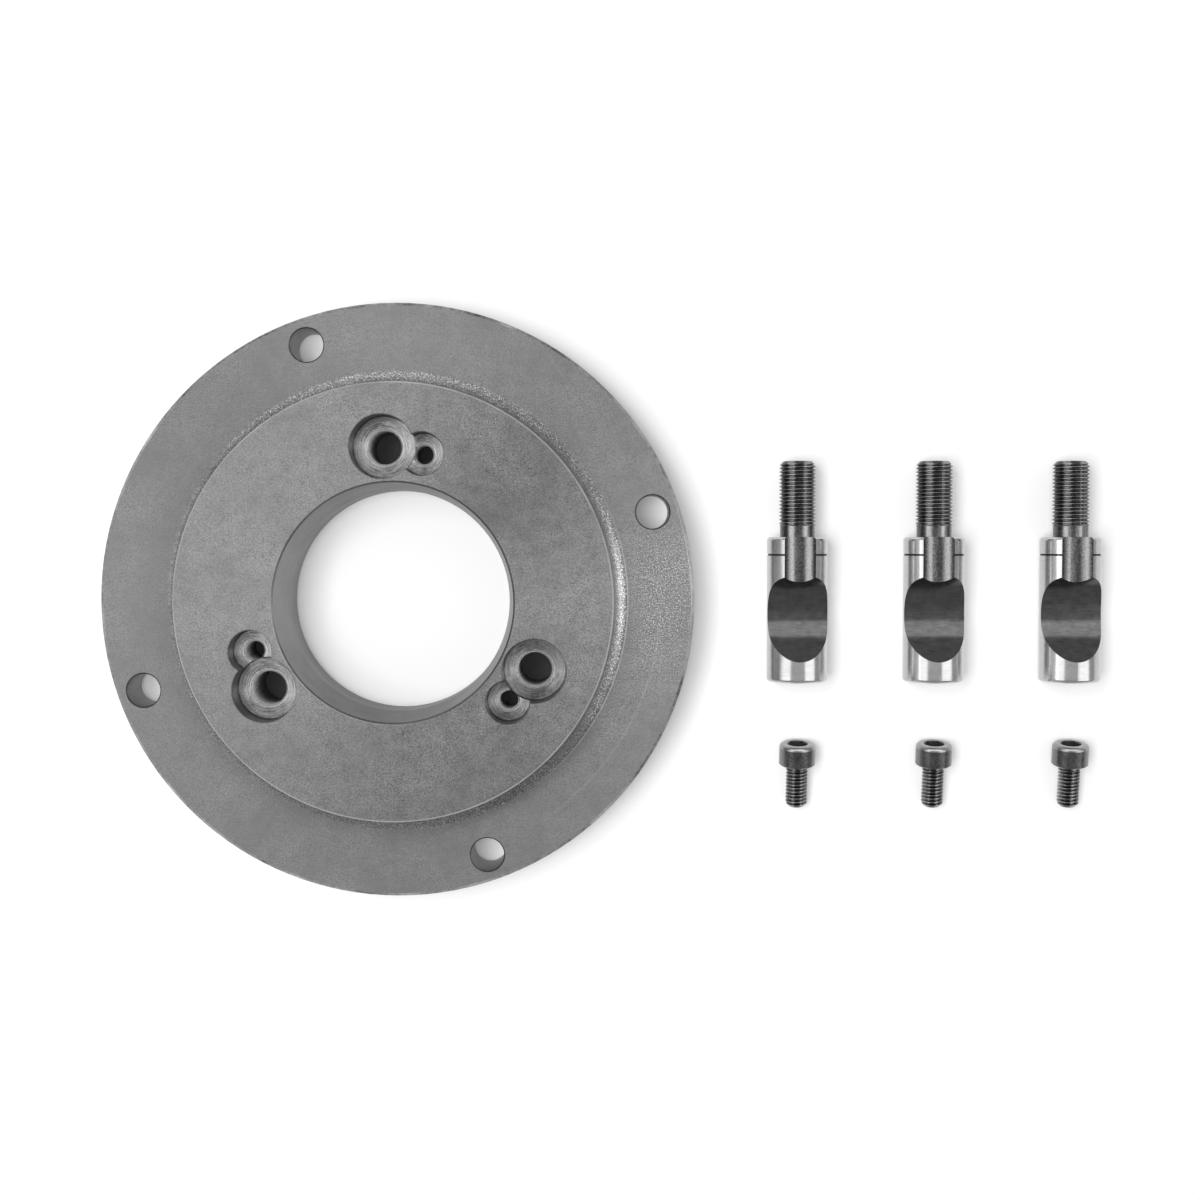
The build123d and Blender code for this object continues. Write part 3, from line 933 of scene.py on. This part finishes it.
def make_backplate():
    """The turned plate from the frame, with cut threads in its tapped holes."""
    sites = site_places()
    stud_floor = FACE_HEIGHT - SOCKET_DEPTH
    lock_floor = FACE_HEIGHT - LOCK_POCKET_DEPTH
    holes = []
    for stud, lock in sites:
        holes.append((stud, STUD_THREAD_RADIUS - TAP_DEPTH, stud_floor))
        holes.append((lock, SCREW_THREAD_RADIUS - TAP_DEPTH, lock_floor))

    def material_of(corners, normal):
        x, y, z = (corners / MM).T
        reach = np.hypot(x, y)
        upright = abs(normal.z)

        def in_pocket(stud, lock, margin):
            by_stud = np.hypot(x - stud[0], y - stud[1]).max() < SOCKET_RADIUS + margin
            by_lock = np.hypot(x - lock[0], y - lock[1]).max() < LOCK_POCKET_RADIUS + margin
            return by_stud or by_lock

        if upright < FLAT:
            for middle, radius, floor in holes:
                away = np.hypot(x - middle[0], y - middle[1])
                widest = radius + MOUTH_CHAMFER + NEARLY_EXACT
                in_hole = away.min() > radius - NEAR and away.max() < widest
                if in_hole and z.max() < floor + NEARLY_EXACT:
                    return None
        for site in sites:
            if upright > FLAT and z.max() < FACE_HEIGHT - CLOSE and in_pocket(*site, CLOSE):
                return pocket_material if z.max() > FLOORS_APART else hole_floor_material
            if upright < WALL and z.min() > stud_floor - CLOSE and in_pocket(*site, BESIDE_WALL):
                return wall_material
        by_bolts = BOLT_HOLE_REACH[0] < reach.min() and reach.max() < BOLT_HOLE_REACH[1]
        if WALL < upright < FLAT:
            if reach.min() > FLANGE_RADIUS - EDGE_BAND:
                return rim_material
            if z.min() > FACE_HEIGHT - INSIDE_EDGE:
                by_bore = reach.min() <= MOUTH_RADIUS + EDGE_BAND
                return bore_edge_material if by_bore else boss_edge_material
            if by_bolts:
                return hole_edge_material
        if upright < WALL:
            if by_bolts:
                return wall_material
            if reach.max() < MOUTH_RADIUS:
                return bore_material
        return plate_material

    parts = sorted_faces(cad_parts["backplate"].data, material_of)

    def tapped(middle, thread_radius, top, bottom, segments, limit=None):
        """A hole's thread, as a part of the plate."""
        minor = thread_radius - TAP_DEPTH

        def radius_at(along, depth):
            fade = np.clip((along - bottom) / HOLE_FADE, 0, 1)
            radius = minor + FEMALE_DEPTH * (1 - depth) * fade
            return np.maximum(radius, minor + MOUTH_CHAMFER - (top - along))

        shell = surface(*helix_grid(bottom, top, radius_at, segments, limit), flip=True)
        place = Matrix.Translation(Vector((*middle, 0)) * MM) @ Matrix.Scale(MM, 4)
        return moved(shell, place), tapped_material, thread_depths(shell, minor, -FEMALE_DEPTH)

    def below_socket(stud, lock):
        """Keeps the lock hole's thread under the socket's floor where the socket runs over it."""

        def limit(along, angles):
            x = lock[0] + SCREW_THREAD_RADIUS * np.cos(angles)
            y = lock[1] + SCREW_THREAD_RADIUS * np.sin(angles)
            inside = np.hypot(x - stud[0], y - stud[1]) < SOCKET_RADIUS
            return np.where(inside, np.minimum(along, stud_floor), along)

        return limit

    stud_bottom = FACE_HEIGHT - STUD_HOLE_DEPTH
    lock_bottom = FACE_HEIGHT - LOCK_HOLE_DEPTH
    for stud, lock in sites:
        stud_span = (stud_floor, stud_bottom, STUD_HOLE_SEGMENTS)
        lock_span = (lock_floor, lock_bottom, LOCK_HOLE_SEGMENTS)
        parts.append(tapped(stud, STUD_THREAD_RADIUS, *stud_span))
        parts.append(tapped(lock, SCREW_THREAD_RADIUS, *lock_span, below_socket(stud, lock)))
    piece = assembled("backplate_turned", parts)
    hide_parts("backplate")
    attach(piece, "root")
    return piece


plate = make_backplate()
loose = []
for number in range(1, STUD_COUNT + 1):
    loose += [make_stud(number), make_lock_screw(number)]


# Floor, lights and camera


def make_floor():
    """A pale floor that shows white to the camera and keeps the shadows."""
    mesh = bpy.data.meshes.new("floor")
    half = FLOOR_HALF_WIDTH
    corners = [(-half, -half, 0), (half, -half, 0), (half, half, 0), (-half, half, 0)]
    mesh.from_pydata(corners, [], [(0, 1, 2, 3)])
    floor = bpy.data.objects.new("floor", mesh)
    bpy.context.scene.collection.objects.link(floor)
    material = bpy.data.materials.new("floor_white")
    material.use_nodes = True
    tree = material.node_tree
    tree.nodes.clear()
    link = tree.links.new

    def combined(operation, first, second):
        """What a maths node makes of an output and another output or a number."""
        node = tree.nodes.new("ShaderNodeMath")
        node.operation = operation
        link(first, node.inputs[0])
        if isinstance(second, bpy.types.NodeSocket):
            link(second, node.inputs[1])
        else:
            node.inputs[1].default_value = second
        return node.outputs[0]

    output = tree.nodes.new("ShaderNodeOutputMaterial")
    diffuse = tree.nodes.new("ShaderNodeBsdfDiffuse")
    diffuse.inputs["Color"].default_value = (FLOOR_GREY, FLOOR_GREY, FLOOR_GREY, 1)
    glow = tree.nodes.new("ShaderNodeEmission")
    total = tree.nodes.new("ShaderNodeAddShader")
    rays = tree.nodes.new("ShaderNodeLightPath").outputs
    seen = combined("MAXIMUM", rays["Is Camera Ray"], rays["Is Glossy Ray"])
    seen = combined("MAXIMUM", seen, rays["Is Transmission Ray"])
    link(combined("MULTIPLY", seen, FLOOR_GLOW), glow.inputs["Strength"])
    link(diffuse.outputs[0], total.inputs[0])
    link(glow.outputs[0], total.inputs[1])
    link(total.outputs[0], output.inputs["Surface"])
    mesh.materials.append(material)
    return floor


def softbox(name, azimuth, from_vertical, height, length, radiance, lit):
    """A soft lamp 1 m from the object, for some pieces only: azimuth 0 is right and 90 behind."""
    data = bpy.data.lights.new(name, "AREA")
    data.shape = "RECTANGLE"
    data.size = length
    data.size_y = height
    data.energy = radiance * math.pi * height * length
    lamp = bpy.data.objects.new(name, data)
    bpy.context.scene.collection.objects.link(lamp)
    turn, tilt = math.radians(azimuth), math.radians(from_vertical)
    aside = math.sin(tilt)
    way = Vector((aside * math.cos(turn), aside * math.sin(turn), math.cos(tilt)))
    lamp.location = CENTRE + way
    lamp.rotation_euler = way.to_track_quat("Z", "Y").to_euler()
    lamp.visible_camera = False
    group = bpy.data.collections.new(name + "_lights")
    for piece in lit:
        group.objects.link(piece)
    lamp.light_linking.receiver_collection = group


def make_world():
    """An even grey room."""
    world = bpy.data.worlds.new("room")
    world.use_nodes = True
    shade = world.node_tree.nodes["Background"]
    shade.inputs["Color"].default_value = (1, 1, 1, 1)
    shade.inputs["Strength"].default_value = ROOM_STRENGTH
    bpy.context.scene.world = world


def make_camera():
    """Almost straight above, between the plate and the loose pieces."""
    data = bpy.data.cameras.new("camera")
    data.sensor_width = 36.0
    data.lens = 50.0
    data.clip_start = 0.01
    data.clip_end = 20.0
    camera = bpy.data.objects.new("camera", data)
    bpy.context.scene.collection.objects.link(camera)
    to_camera = Matrix.Rotation(CAMERA_PITCH, 3, "X") @ Matrix.Rotation(CAMERA_ROLL, 3, "Y")
    place = Matrix.Translation(CAMERA_PLACE)
    camera.matrix_world = place @ to_camera.transposed().to_4x4()
    bpy.context.scene.camera = camera


floor = make_floor()
make_world()
make_camera()

# Each lamp's name, azimuth and angle from the vertical in degrees, height, length, radiance and
# what it lights
for lamp in (
    ("right_softbox", 0, 48, 0.78, 0.3, 3.2, [plate]),
    ("back_softbox", 105, 46, 0.8, 0.6, 0.55, [plate]),
    ("upper_left_softbox", 165, 24, 0.5, 0.5, 1.05, [plate]),
    ("loose_right_softbox", 0, 46.5, 0.69, 0.9, 1.45, loose),
    ("loose_left_softbox", 180, 45, 0.64, 0.9, 1.4, loose),
    ("loose_top_softbox", 180, 3, 0.9, 0.3, 0.2, loose),
    ("loose_back_softbox", 90, 38, 0.82, 1.6, 1.8, loose),
    ("floor_softbox", 173, 20, 0.24, 0.62, 10.8, [floor]),
    ("hole_floor_softbox", 179, 7, 0.26, 0.3, 14.0, [floor]),
):
    softbox(*lamp)
bpy.context.scene.view_settings.view_transform = "Standard"
